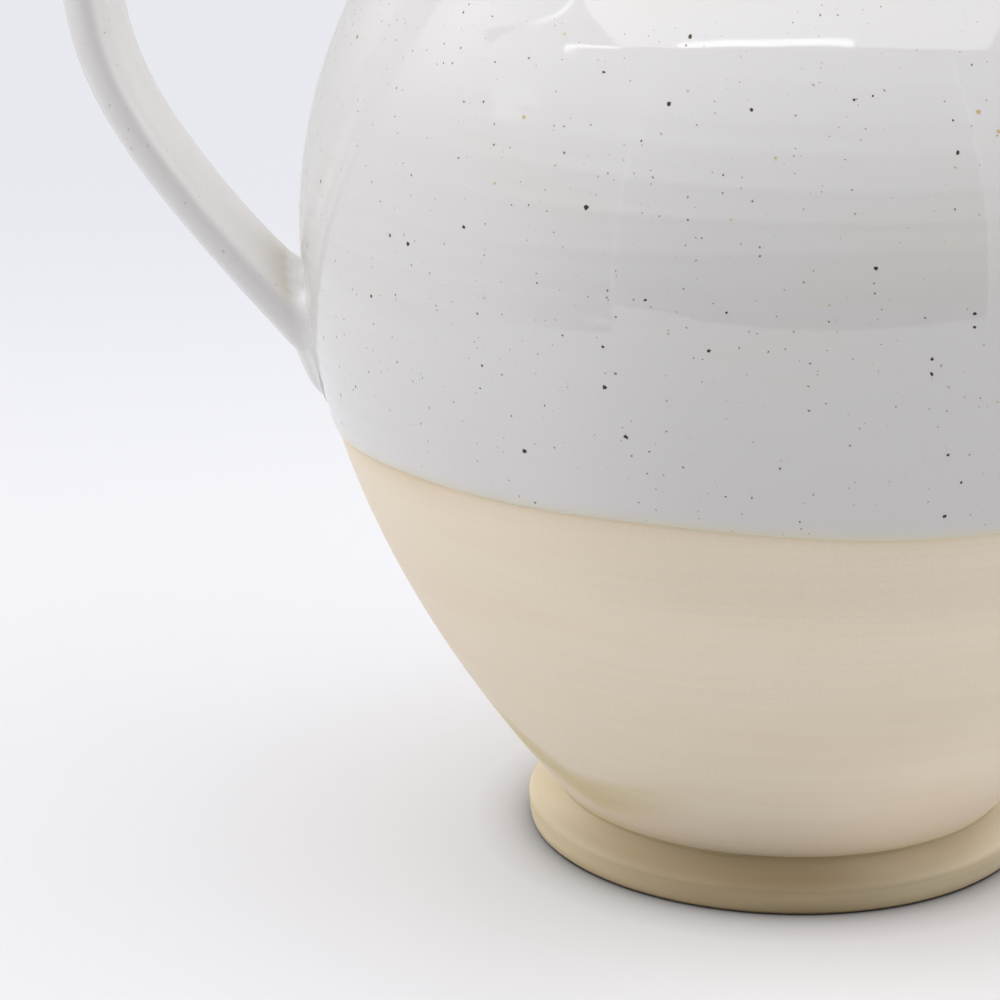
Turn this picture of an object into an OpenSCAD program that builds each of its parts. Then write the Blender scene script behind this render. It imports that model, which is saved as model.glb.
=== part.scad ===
// Wheel-thrown stoneware jug with a turned foot, a pulled strap handle and a dipped white glaze.
// Millimetres. +Z is up and the origin is the centre of the ring it stands on.
// The handle is towards -X and the pouring lip towards +X.

/* [Body] */
// Outer radius of the belly at its widest
belly_r = 79.6; // [66:0.2:100]
// Height of the widest point above the table
belly_z = 103; // [90:1:125]
// Outer radius of the body where it meets the foot
base_r = 38; // [32:0.5:41]
// How full the lower body swells (1 would be a straight cone)
fullness = 1.92; // [1.6:0.02:2.3]
// Radius of the shoulder's curve
shoulder_r = 82; // [70:1:100]
// Thickness of the thrown wall
wall = 6; // [4:0.5:8]
// Thickness of the floor
floor_t = 7; // [5:0.5:10]
// Height over which the floor rounds up into the wall
floor_round = 12; // [6:0.5:18]

/* [Neck and lip] */
// Outer radius of the neck at its waist
neck_r = 43; // [36:0.5:50]
// Radius of the hollow between shoulder and neck
cove_r = 14; // [8:1:22]
// Height of the neck above its waist
neck_h = 27; // [20:1:40]
// How far the rim flares out beyond the waist
flare = 6.5; // [3:0.5:12]
// Thickness of the wall at the rim
rim_t = 4.8; // [3.5:0.1:7]
// Height of the rim's rounded top
rim_round = 2; // [1:0.1:3]
// How far the pouring lip is pulled out beyond the rim
lip_reach = 15; // [8:0.5:20]
// Angle from the middle of the lip to its side
lip_angle = 42; // [30:1:55]
// Rise of the lip's tip above the rim
lip_rise = 4; // [0:0.5:8]
// How far the throat is pinched in on each side of the lip
lip_pinch = 1.6; // [0:0.1:3]

/* [Foot] */
// Height of the foot, from the table to the body
foot_h = 8.2; // [6:0.1:12]
// How far the foot spreads beyond the body, where it touches the table
foot_spread = 4.3; // [1:0.1:7]
// How far the foot's bead stands out beyond that
foot_bead = 0.4; // [0.2:0.1:2]
// Height of the widest point of the foot, as a share of the foot's height
foot_bead_share = 0.55; // [0.4:0.01:0.7]
// Width of the ring that touches the table
foot_w = 7; // [5:0.1:9]
// Bevel on the inner edge of that ring
foot_bevel = 1; // [0.4:0.1:2]

/* [Handle] */
// Height at which the middle of the strap meets the belly
root_z = 85.4; // [80:0.2:95]
// Lean of the lower limb, from upright
root_lean = 41.5; // [30:0.5:46]
// Pull of the lower limb along its lean
root_pull = 51; // [35:0.5:55]
// Distance from the belly's widest to the middle of the strap at its outermost
strap_reach = 33.2; // [26:0.1:42]
// Height at which the strap stands upright
crown_z = 156; // [145:0.2:165]
// Pull of the strap below and above its upright point
crown_pull = 26; // [20:0.5:32]
// Height of the upper joint above the waist, as a share of the neck's height
top_share = 0.48; // [0.34:0.01:0.6]
// Rise of the strap as it leaves the neck, from level
top_lean = 17; // [0:1:30]
// Pull of the strap as it leaves the neck
top_pull = 34; // [24:1:42]
// Thickness of the strap at its lower end
strap_t_low = 7.4; // [6:0.1:12]
// Thickness of the strap at its upper end
strap_t_top = 9; // [6:0.1:12]
// Width of the strap at its lower end
strap_w_low = 20; // [14:0.5:28]
// Width of the strap at its upper end
strap_w_top = 25; // [16:0.5:32]
// Squareness of the strap's section (2 is an ellipse)
strap_square = 2.2; // [2:0.1:4]
// Clay smoothed into the corner under the strap at the root
root_fillet = 4; // [1:0.5:6]
// Swelling of the strap at the upper joint
top_swell = 4; // [0:0.5:6]
// Length of the pressed tail below the root
tail_len = 10.4; // [8:0.1:16]
// Width of the tail's tip
tail_w = 9; // [6:0.5:14]
// Thickness of the tail's tip
tail_t = 5.6; // [4:0.1:6]
// Depth to which the tail's tip is pressed into the belly
tail_dive = 3.8; // [3.4:0.1:4.6]

/* [Glaze and slip] */
// Thickness of every glaze coat
glaze_t = 0.5; // [0.3:0.05:0.8]
// Height of the dip line at the axis
dip_z = 71.2; // [50:0.2:78]
// Tilt of the dip line
dip_tilt = 1.65; // [0:0.05:3]
// Direction in which the dip line climbs, from +X
dip_climb = 246; // [0:1:360]
// Thickness of the slip in every joint
slip_t = 0.6; // [0.4:0.05:1]

/* [Hidden] */

// Colours of the fired clay, the slip and the glaze
clay_colour = [0.85, 0.78, 0.66];
slip_colour = [0.76, 0.68, 0.50];
glaze_colour = [0.93, 0.92, 0.91];

// Bands in the turned body, and faces round the neck, up it, over its rim and down inside it
body_bands = 46;
floor_bands = 8;
neck_sides = 48;
neck_rows = 8;
rim_rows = 4;
throat_rows = 6;
// Faces round the strap, and stations along its tail, its lower limb and its upper bend
strap_sides = 14;
tail_stations = 8;
limb_stations = 10;
bend_stations = 12;
// How far the flat-sided neck laps over the round body at the waist
neck_lap = 0.15;
// Height to which the hidden ring at the waist laps into the body and into the neck
waist_lap = 0.5;
// Share of a coat that is left clear on each side of that ring
lap_clear = 0.1;
// Depth to which the strap's upper end runs into the neck before it is trimmed
top_bury = 2.5;
// Powers that shape the curves: how square the floor's corner is, how late the lip turns out,
// how fast the fillet under the strap fades and how late the strap swells at the neck
floor_power = 3;
lip_power = 2.5;
fillet_power = 20;
swell_power = 6;
// Place of the tail's bend and pull of the strap into it, as shares of the tail's length
tail_bend_share = 0.9;
tail_pull_share = 0.25;
// Step for measuring a slope
nudge = 0.01;
$fn = 96;

// The body's outline

// Shoulder and cove are two arcs that touch; the cove turns upright at the waist of the neck
shoulder_x = belly_r - shoulder_r;
cove_x = neck_r + cove_r;
throat_r = neck_r - wall;
waist_z = belly_z + sqrt(pow(shoulder_r + cove_r, 2) - pow(cove_x - shoulder_x, 2));
touch_z = belly_z + (waist_z - belly_z) * shoulder_r / (shoulder_r + cove_r);
floor_z = foot_h + floor_t;

function lower_r(z) =
    belly_r - (belly_r - base_r) * pow((belly_z - z) / (belly_z - foot_h), fullness);
function shoulder_arc_r(z) = shoulder_x + sqrt(pow(shoulder_r, 2) - pow(z - belly_z, 2));
function cove_arc_r(z) = cove_x - sqrt(pow(cove_r, 2) - pow(z - waist_z, 2));
function body_r(z) = z < belly_z ? lower_r(z) : z < touch_z ? shoulder_arc_r(z) : cove_arc_r(z);
function body_slope(z) = (body_r(z + nudge) - body_r(z - nudge)) / (2 * nudge);

// Radius of a skin that is measured square to the outside: a coat lies above it, the wall below
function skin_r(z, skin) = body_r(z) + skin * sqrt(1 + pow(body_slope(z), 2));
function skin_line(heights, skin) = [for (z = heights) [skin_r(z, skin), z]];

// Heights of the turned bands, from the one just below z0 up to the waist
function bands_above(z0) =
    let (first = floor(body_bands * (z0 - foot_h) / (waist_z - foot_h)))
    [for (i = [first:body_bands])
        let (share = i / body_bands)
        foot_h * (1 - share) + waist_z * share];

// Inside, the wall runs down to the floor and rounds into it; the liner lies higher by its own thickness
function inside_line(skin, lift) =
    let (low = floor_z + lift, bend = low + floor_round)
    concat(
        skin_line([for (i = [0:body_bands]) waist_z + (bend - waist_z) * i / body_bands], skin),
        [for (i = [floor_bands - 1:-1:0])
            let (s = 1 - cos(90 * i / floor_bands), z = low + floor_round * s)
            [skin_r(z, skin) * pow(1 - pow(1 - s, floor_power), 1 / floor_power), z]]
    );

// Solid of the body without its neck, out to a given skin
module body_core(skin) {
    rotate_extrude()
        polygon(concat([[0, foot_h]], skin_line(bands_above(foot_h), skin), [[0, waist_z]]));
}

// Coat on the body's outside, from the band below z0 up to the waist
module body_film(z0, skin) {
    heights = bands_above(z0);
    rotate_extrude()
        polygon(concat(skin_line(heights, skin), skin_line(backwards(heights), 0)));
}

// Rings of points

// Faces between ring i and ring j, each with n points
function band_faces(i, j, n) = [
    for (k = [0:n - 1])
        let (a = i * n + k, b = i * n + (k + 1) % n, c = j * n + k, d = j * n + (k + 1) % n)
        each [[a, b, d], [a, d, c]]
];
function joined(lists) = [for (list = lists) each list];
function backwards(list) = [for (i = [len(list) - 1:-1:0]) list[i]];
function middle(ring) = [for (p = ring) 1] * ring / len(ring);

// Solid whose last ring closes on its first, as a bent tube wall does
module looped_rings(rings) {
    n = len(rings[0]);
    m = len(rings);
    polyhedron(joined(rings), joined([for (i = [0:m - 1]) band_faces(i, (i + 1) % m, n)]));
}

// Solid that is capped by its first and last rings
module stacked_rings(rings) {
    n = len(rings[0]);
    m = len(rings);
    polyhedron(concat(joined(rings), [middle(rings[0]), middle(rings[m - 1])]), concat(
        joined([for (i = [0:m - 2]) band_faces(i, i + 1, n)]),
        [for (k = [0:n - 1]) [(k + 1) % n, k, m * n]],
        [for (k = [0:n - 1]) [(m - 1) * n + k, (m - 1) * n + (k + 1) % n, m * n + 1]]
    ));
}

// The neck, its rim and its pouring lip

// Share of the lip at an angle from its middle: 1 there and 0 at its sides
function lip_share(a) = abs(a) < lip_angle ? pow(cos(90 * a / lip_angle), 2) : 0;
// Share of the pinch, which is deepest at the lip's sides
function pinch_share(a) = lip_share(2 * (abs(a) - lip_angle));
// Outer radius and height of the neck at a share s of its height, at angle a
function neck_wall_r(s, a) =
    neck_r + neck_lap + (flare - lip_pinch * pinch_share(a)) * s * s
    + lip_reach * lip_share(a) * pow(abs(s), lip_power);
function neck_wall_z(s, a) = waist_z + neck_h * s + lip_rise * lip_share(a) * s * s;
// Lengthening of a coat that is measured level on a sloping wall
function neck_slant(s, a) =
    let (run = neck_wall_r(s + nudge, a) - neck_wall_r(s - nudge, a),
         rise = neck_wall_z(s + nudge, a) - neck_wall_z(s - nudge, a))
    sqrt(1 + pow(run / rise, 2));
function neck_wall_t(s) = wall + 2 * neck_lap + (rim_t - wall) * s;

// One point of the neck's surface, in polar form [radius, height], under a coat of thickness skin.
// Rows climb the outside, cross the rim and go down the throat.
rim_row = neck_rows;
throat_row = neck_rows + rim_rows;
last_row = throat_row + throat_rows;
crest_row = rim_row + rim_rows / 2;
function neck_profile(row, a, skin) =
    row <= rim_row ? neck_outside(row / neck_rows, a, skin) :
    row < throat_row ? neck_rim(180 * (row - rim_row) / rim_rows, a, skin) :
    neck_inside((last_row - row) / throat_rows, a, skin);
function neck_outside(s, a, skin) =
    [neck_wall_r(s, a) + skin * neck_slant(s, a), neck_wall_z(s, a)];
function neck_inside(s, a, skin) =
    [neck_wall_r(s, a) - neck_wall_t(s) - skin * neck_slant(s, a), neck_wall_z(s, a)];
function neck_rim(turn, a, skin) =
    [neck_wall_r(1, a) - rim_t / 2 - neck_lap + cos(turn) * (rim_t / 2 + neck_lap + skin * neck_slant(1, a)),
     neck_wall_z(1, a) + sin(turn) * (rim_round + skin)];
function neck_ring(row, skin) = [
    for (k = [0:neck_sides - 1])
        let (a = 180 - 360 * k / neck_sides,
             p = neck_profile(row, a, skin))
        [p[0] * cos(a), p[0] * sin(a), p[1]]
];
function neck_rings(row0, row1, skin) = [for (row = [row0:row1]) neck_ring(row, skin)];

// Ring hidden inside a wall or a coat, through which the turned body and the neck join into one solid
module waist_ring(r0, r1) {
    translate([0, 0, waist_z - waist_lap])
        difference() {
            cylinder(r = r1, h = 2 * waist_lap);
            translate([0, 0, -waist_lap])
                cylinder(r = r0, h = 4 * waist_lap);
        }
}

// Coat on the rows of the neck from row0 to row1
module neck_film(row0, row1, skin) {
    looped_rings(concat(neck_rings(row0, row1, skin), backwards(neck_rings(row0, row1, 0))));
}

// The strap handle

// The strap follows three curves in the plane of the axis, each point as [distance from axis, height]:
// up its pressed tail, along its lower limb and round its upper bend to the neck
function lean_dir(angle) = [sin(angle), cos(angle)];
root = [body_r(root_z), root_z];
crown = [belly_r + strap_reach, crown_z];
tail_z = root_z - tail_len;
tail_tip = [body_r(tail_z) - tail_dive, tail_z];
tail_bend_z = root_z - tail_bend_share * tail_len;
tail_pull = tail_pull_share * tail_len;
top_end = [neck_wall_r(top_share, 180) - top_bury, neck_wall_z(top_share, 180)];
tail_curve = [tail_tip, [body_r(tail_bend_z), tail_bend_z], root - tail_pull * lean_dir(root_lean), root];
limb_curve = [root, root + root_pull * lean_dir(root_lean), crown - [0, crown_pull], crown];
bend_curve = [crown, crown + [0, crown_pull], top_end + top_pull * lean_dir(90 - top_lean), top_end];

function curve_point(c, t) =
    c[0] * pow(1 - t, 3) + c[1] * 3 * t * pow(1 - t, 2) + c[2] * 3 * t * t * (1 - t) + c[3] * pow(t, 3);
function curve_dir(c, t) =
    let (v = (c[1] - c[0]) * pow(1 - t, 2) + (c[2] - c[1]) * 2 * t * (1 - t) + (c[3] - c[2]) * t * t)
    v / norm(v);

// The tail thickens and widens fast at its tip, the strap grows steadily above the root,
// the corner under it is filled close to the root, and its upper end swells close to the neck
function tail_size(t, tip, full) = full - (full - tip) * pow(1 - t, 2);
function strap_w(t) = strap_w_low + (strap_w_top - strap_w_low) * t;
function strap_t(t) = strap_t_low + (strap_t_top - strap_t_low) * t;
function corner_fill(t) = root_fillet * pow(1 - t, fillet_power);
function end_swell(t) = top_swell * pow(t, swell_power);

// A ring of the strap: a rounded oblong section set square to its curve, filled out on the inside
function rounded(c) = sign(c) * pow(abs(c), 2 / strap_square);
function strap_ring(curve, t, thick, wide, fill, skin) =
    let (p = curve_point(curve, t), dir = curve_dir(curve, t), out = [dir[1], -dir[0]])
    [for (k = [0:strap_sides - 1])
        let (a = 360 * k / strap_sides,
             half = thick / 2 + skin + (cos(a) < 0 ? fill : 0),
             q = p + out * half * rounded(cos(a)))
        [-q[0], (wide / 2 + skin) * rounded(sin(a)), q[1]]];
function tail_ring(t, skin) =
    strap_ring(tail_curve, t, tail_size(t, tail_t, strap_t_low), tail_size(t, tail_w, strap_w_low),
        tail_size(t, 0, root_fillet), skin);
function limb_ring(t, skin) =
    strap_ring(limb_curve, t, strap_t(t / 2), strap_w(t / 2), corner_fill(t), skin);
function bend_ring(t, skin) =
    strap_ring(bend_curve, t, strap_t((1 + t) / 2) + end_swell(t),
        strap_w((1 + t) / 2) + end_swell(t), 0, skin);
function strap_rings(skin) = concat(
    [for (i = [0:tail_stations - 1]) tail_ring(i / tail_stations, skin)],
    [for (i = [0:limb_stations - 1]) limb_ring(i / limb_stations, skin)],
    [for (i = [0:bend_stations]) bend_ring(i / bend_stations, skin)]
);

// Whole strap, untrimmed, and what it is trimmed by
module strap_form() {
    stacked_rings(strap_rings(0));
}
module jug_core(skin) {
    body_core(skin);
    stacked_rings(neck_rings(0, rim_row, skin));
}

// Outline of the foot: upright at the groove, out over the bead and in to the table
foot_top = foot_h - slip_t;
foot_bands = 10;
foot_r = base_r + foot_spread;
foot_bead_r = foot_r + foot_bead;
foot_bead_z = foot_bead_share * foot_top;
foot_in_r = foot_r - foot_w;
function foot_cove(s) = [base_r + (foot_bead_r - base_r) * (1 - cos(180 * s)) / 2,
    foot_top + (foot_bead_z - foot_top) * s];
function foot_round(s) = [foot_bead_r + (foot_r - foot_bead_r) * s * s, foot_bead_z * (1 - s)];

// Pieces

module vessel() {
    color(clay_colour)
        union() {
            rotate_extrude()
                polygon(concat([[0, foot_h]], skin_line(bands_above(foot_h), 0), inside_line(-wall, 0)));
            looped_rings(neck_rings(0, last_row, 0));
            waist_ring(neck_r - 2 * wall / 3, neck_r - wall / 3);
        }
}

module foot_ring() {
    color(clay_colour)
        rotate_extrude()
            polygon(concat(
                [for (i = [0:foot_bands]) foot_cove(i / foot_bands)],
                [for (i = [1:foot_bands]) foot_round(i / foot_bands)],
                [[foot_in_r, 0], [foot_in_r - foot_bevel, foot_bevel], [foot_in_r - foot_bevel, foot_top]]
            ));
}

module foot_slip() {
    color(slip_colour)
        translate([0, 0, foot_top])
            difference() {
                cylinder(r = base_r, h = slip_t);
                translate([0, 0, -slip_t])
                    cylinder(r = foot_in_r - foot_bevel, h = 3 * slip_t);
            }
}

module handle() {
    color(clay_colour)
        difference() {
            strap_form();
            jug_core(slip_t);
        }
}

module lower_handle_slip() {
    color(slip_colour)
        intersection() {
            strap_form();
            body_film(tail_z - tail_len, slip_t);
        }
}

module upper_handle_slip() {
    color(slip_colour)
        intersection() {
            strap_form();
            neck_film(0, rim_row, slip_t);
        }
}

// The coat ends at the plane to which the jug was dipped
module below_dip() {
    span = 4 * belly_r;
    translate([0, 0, dip_z])
        rotate([0, 0, dip_climb])
            rotate([0, -dip_tilt, 0])
                translate([-span / 2, -span / 2, -span])
                    cube(span);
}

module outer_glaze() {
    lowest_z = dip_z - 2 * belly_r * tan(dip_tilt);
    color(glaze_colour)
        difference() {
            union() {
                body_film(lowest_z, glaze_t);
                neck_film(0, crest_row, glaze_t);
                waist_ring(neck_r + neck_lap + lap_clear * glaze_t, neck_r + (1 - lap_clear) * glaze_t);
            }
            below_dip();
            strap_form();
        }
}

module liner_glaze() {
    color(glaze_colour)
        union() {
            rotate_extrude()
                polygon(concat(inside_line(-wall, 0), backwards(inside_line(-wall - glaze_t, glaze_t))));
            neck_film(crest_row, last_row, glaze_t);
            waist_ring(throat_r - (1 - lap_clear) * glaze_t,
                (throat_r - neck_lap) * cos(180 / neck_sides) - lap_clear * glaze_t);
        }
}

module handle_glaze() {
    color(glaze_colour)
        difference() {
            looped_rings(concat(strap_rings(glaze_t), backwards(strap_rings(0))));
            jug_core(glaze_t);
        }
}

vessel();
foot_ring();
foot_slip();
handle();
lower_handle_slip();
upper_handle_slip();
outer_glaze();
liner_glaze();
handle_glaze();
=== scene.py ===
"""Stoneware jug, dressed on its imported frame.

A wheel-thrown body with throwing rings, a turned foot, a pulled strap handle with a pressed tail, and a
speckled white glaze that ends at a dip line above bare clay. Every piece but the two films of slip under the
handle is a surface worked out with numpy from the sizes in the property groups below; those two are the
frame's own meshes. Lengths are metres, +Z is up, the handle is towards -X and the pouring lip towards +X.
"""
import math

import bpy
import numpy as np
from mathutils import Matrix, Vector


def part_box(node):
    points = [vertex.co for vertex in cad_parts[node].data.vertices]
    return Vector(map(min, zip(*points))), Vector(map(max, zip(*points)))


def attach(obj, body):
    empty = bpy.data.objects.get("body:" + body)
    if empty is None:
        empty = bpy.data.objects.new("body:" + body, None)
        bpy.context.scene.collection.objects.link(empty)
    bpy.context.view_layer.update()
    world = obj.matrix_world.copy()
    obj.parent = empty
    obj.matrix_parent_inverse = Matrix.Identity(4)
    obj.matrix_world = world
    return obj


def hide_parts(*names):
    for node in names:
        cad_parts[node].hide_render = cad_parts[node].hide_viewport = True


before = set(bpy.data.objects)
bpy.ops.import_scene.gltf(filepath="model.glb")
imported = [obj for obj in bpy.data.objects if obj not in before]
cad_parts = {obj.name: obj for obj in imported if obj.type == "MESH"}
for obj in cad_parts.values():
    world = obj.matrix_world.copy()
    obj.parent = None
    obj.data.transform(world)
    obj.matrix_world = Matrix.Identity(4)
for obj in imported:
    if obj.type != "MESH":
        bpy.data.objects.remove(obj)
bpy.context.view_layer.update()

bl_info = {
    "name": "Stoneware jug",
    "version": (1, 0, 0),
    "blender": (4, 5, 0),
    "location": "3D View > Sidebar > Jug",
    "description": "Builds a thrown, dipped stoneware jug and the light tent it stands in",
    "category": "Add Mesh",
}

MM = 0.001
VESSEL_LOW, VESSEL_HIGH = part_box("vessel")
FOOT_LOW, FOOT_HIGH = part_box("foot_ring")


# Property helpers

def length(name, description, default):
    """A property for a length, in metres."""
    return bpy.props.FloatProperty(
        name=name, description=description, default=default, precision=5, unit="LENGTH", subtype="DISTANCE")


def number(name, description, default):
    """A property for a plain number."""
    return bpy.props.FloatProperty(name=name, description=description, default=default, precision=3)


def angle(name, description, degrees):
    """A property for an angle, whose default is given in degrees."""
    return bpy.props.FloatProperty(
        name=name, description=description, default=math.radians(degrees), unit="ROTATION", subtype="ANGLE")


def colour(name, description, red, green, blue):
    """A property for a colour, whose default is given as it looks on a screen, 0 to 255 in each channel."""
    return bpy.props.FloatVectorProperty(
        name=name, description=description, default=(linear(red), linear(green), linear(blue)),
        size=3, min=0, max=1, subtype="COLOR")


def linear(code):
    """Screen code 0 to 255 as linear light, by the sRGB curve."""
    share = code / 255
    if share <= 0.04045:
        return share / 12.92
    return ((share + 0.055) / 1.055) ** 2.4


# Sizes and colours

class JugShape(bpy.types.PropertyGroup):
    """Sizes of the thrown body, its neck and lip, and its foot."""
    belly_radius: length("Belly radius", "Outer radius of the belly at its widest", VESSEL_HIGH[1])
    belly_height: length("Belly height", "Height of the widest point above the table", 103 * MM)
    base_radius: length("Base radius", "Outer radius of the body where it meets the foot", 38 * MM)
    fullness: number("Fullness", "How full the lower body swells; 1 would be a straight cone", 1.92)
    shoulder_radius: length("Shoulder radius", "Radius of the shoulder's curve", 82 * MM)
    wall: length("Wall", "Thickness of the thrown wall", 6 * MM)
    floor_thickness: length("Floor", "Thickness of the floor", 7 * MM)
    floor_round: length("Floor round", "Height over which the floor rounds up into the wall", 12 * MM)
    neck_radius: length("Neck radius", "Outer radius of the neck at its waist", 43 * MM)
    cove_radius: length("Cove radius", "Radius of the hollow between shoulder and neck", 14 * MM)
    neck_height: length("Neck height", "Height of the neck above its waist", 27 * MM)
    flare: length("Flare", "How far the rim flares out beyond the waist", 6.5 * MM)
    rim_thickness: length("Rim thickness", "Thickness of the wall at the rim", 4.8 * MM)
    rim_round: length("Rim round", "Height of the rim's rounded top", 2 * MM)
    lip_reach: length("Lip reach", "How far the pouring lip is pulled out beyond the rim", 15 * MM)
    lip_angle: angle("Lip angle", "Angle from the middle of the lip to its side", 42)
    lip_rise: length("Lip rise", "Rise of the lip's tip above the rim", 4 * MM)
    lip_pinch: length("Lip pinch", "How far the throat is pinched in beside the lip", 1.6 * MM)
    foot_height: length("Foot height", "Height of the foot, from the table to the body", VESSEL_LOW[2])
    foot_spread: length("Foot spread", "How far the foot spreads beyond the body, at the table", 4.3 * MM)
    foot_bead: length("Foot bead", "How far the foot's bead stands out beyond that", 0.4 * MM)
    foot_bead_share: number("Bead share", "Share of the foot's height at which it is widest", 0.55)
    foot_groove: length("Foot groove", "Depth of the groove between foot and body", 0.35 * MM)
    foot_width: length("Foot width", "Width of the ring that touches the table", 7 * MM)
    foot_bevel: length("Foot bevel", "Bevel on the edges of that ring", 0.8 * MM)
    slip_film: length("Slip film", "Thickness of the slip in every joint", 0.6 * MM)
    ring_pitch: length("Ring pitch", "Distance between two throwing rings", 4.7 * MM)
    ring_depth: length("Ring depth", "Height of the throwing rings", 0.024 * MM)
    wobble: length("Wobble", "How far the hand-thrown wall strays from round", 0.03 * MM)


class JugHandle(bpy.types.PropertyGroup):
    """Sizes of the pulled strap handle."""
    root_height: length("Root height", "Height at which the middle of the strap meets the belly", 85.4 * MM)
    root_lean: angle("Root lean", "Lean of the lower limb, from upright", 41.5)
    root_pull: length("Root pull", "Pull of the lower limb along its lean", 51 * MM)
    reach: length("Reach", "Farthest distance of the strap's middle from the belly's widest", 33.2 * MM)
    crown_height: length("Crown height", "Height at which the strap stands upright", 156 * MM)
    crown_pull: length("Crown pull", "Pull of the strap below and above its upright point", 26 * MM)
    top_share: number("Top share", "Height of the upper joint as a share of the neck's height", 0.48)
    top_lean: angle("Top lean", "Rise of the strap as it leaves the neck, from level", 17)
    top_pull: length("Top pull", "Pull of the strap as it leaves the neck", 34 * MM)
    top_bury: length("Top bury", "Depth to which the strap's upper end runs into the neck", 2.5 * MM)
    low_thickness: length("Low thickness", "Thickness of the strap at its lower end", 7.4 * MM)
    top_thickness: length("Top thickness", "Thickness of the strap at its upper end", 9 * MM)
    low_width: length("Low width", "Width of the strap at its lower end", 20 * MM)
    top_width: length("Top width", "Width of the strap at its upper end", 25 * MM)
    squareness: number("Squareness", "Squareness of the strap's section; 2 is an ellipse", 2.2)
    ridge: number("Ridge", "Place of the side ridges: 0 is the middle and 1 the outer face", -0.1)
    root_fillet: length("Root fillet", "Clay smoothed into the corner under the strap at the root", 4 * MM)
    top_swell: length("Top swell", "Swelling of the strap at the upper joint", 4 * MM)
    tail_length: length("Tail length", "Length of the pressed tail below the root", 9.3 * MM)
    tail_width: length("Tail width", "Width of the tail's tip", 9 * MM)
    tail_thickness: length("Tail thickness", "Thickness of the tail's tip", 5.6 * MM)
    tail_dive: length("Tail dive", "Depth to which the tail's tip is pressed into the belly", 3.1 * MM)
    tail_bend: number("Tail bend", "Place of the tail's bend, as a share of its length", 0.9)
    bed: length("Bed", "Depth to which the strap is bedded in the wall", 3 * MM)
    pool: length("Glaze pool", "Size of the pool of glaze in the corners where the strap joins", 2.2 * MM)


class JugFinish(bpy.types.PropertyGroup):
    """Glaze, clay and slip."""
    glaze_coat: length("Glaze coat", "Thickness of every glaze coat", 0.5 * MM)
    dip_height: length("Dip height", "Height of the dip line at the axis", 71.2 * MM)
    dip_tilt: angle("Dip tilt", "Tilt of the dip line", 1.65)
    dip_climb: angle("Dip climb", "Direction in which the dip line climbs, from +X", 246)
    dip_waver: length("Dip waver", "How far the dip line strays from straight", 0.35 * MM)
    dip_nose: length("Dip nose", "Height over which the glaze rounds off at its edge", 0.7 * MM)
    glaze: colour("Glaze", "Colour of the white glaze", 205, 203, 202)
    glaze_warm: colour("Thin glaze", "Colour of the glaze where it lies thin over the clay", 206, 196, 163)
    speck: colour("Speck", "Colour of the iron specks", 20, 15, 10)
    halo: colour("Halo", "Colour that a speck bleeds into the glaze around it", 186, 164, 112)
    clay: colour("Clay", "Colour of the bare clay", 225, 213, 192)
    clay_blush: colour("Blush", "Colour of the pinker bands in the clay", 223, 207, 186)
    clay_edge: colour("Edge stain", "Colour of the line in the clay just below the glaze", 205, 184, 144)
    # Dark brown painted into the clay as shade at the foot, its seam and the body just above, over a
    # slightly browner foot.
    clay_toast: colour("Brown_shade", "Colour of the clay where the kiln toasted the foot", 146, 127, 92)
    slip: colour("Slip", "Colour of the fired slip", 207, 191, 146)


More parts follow.
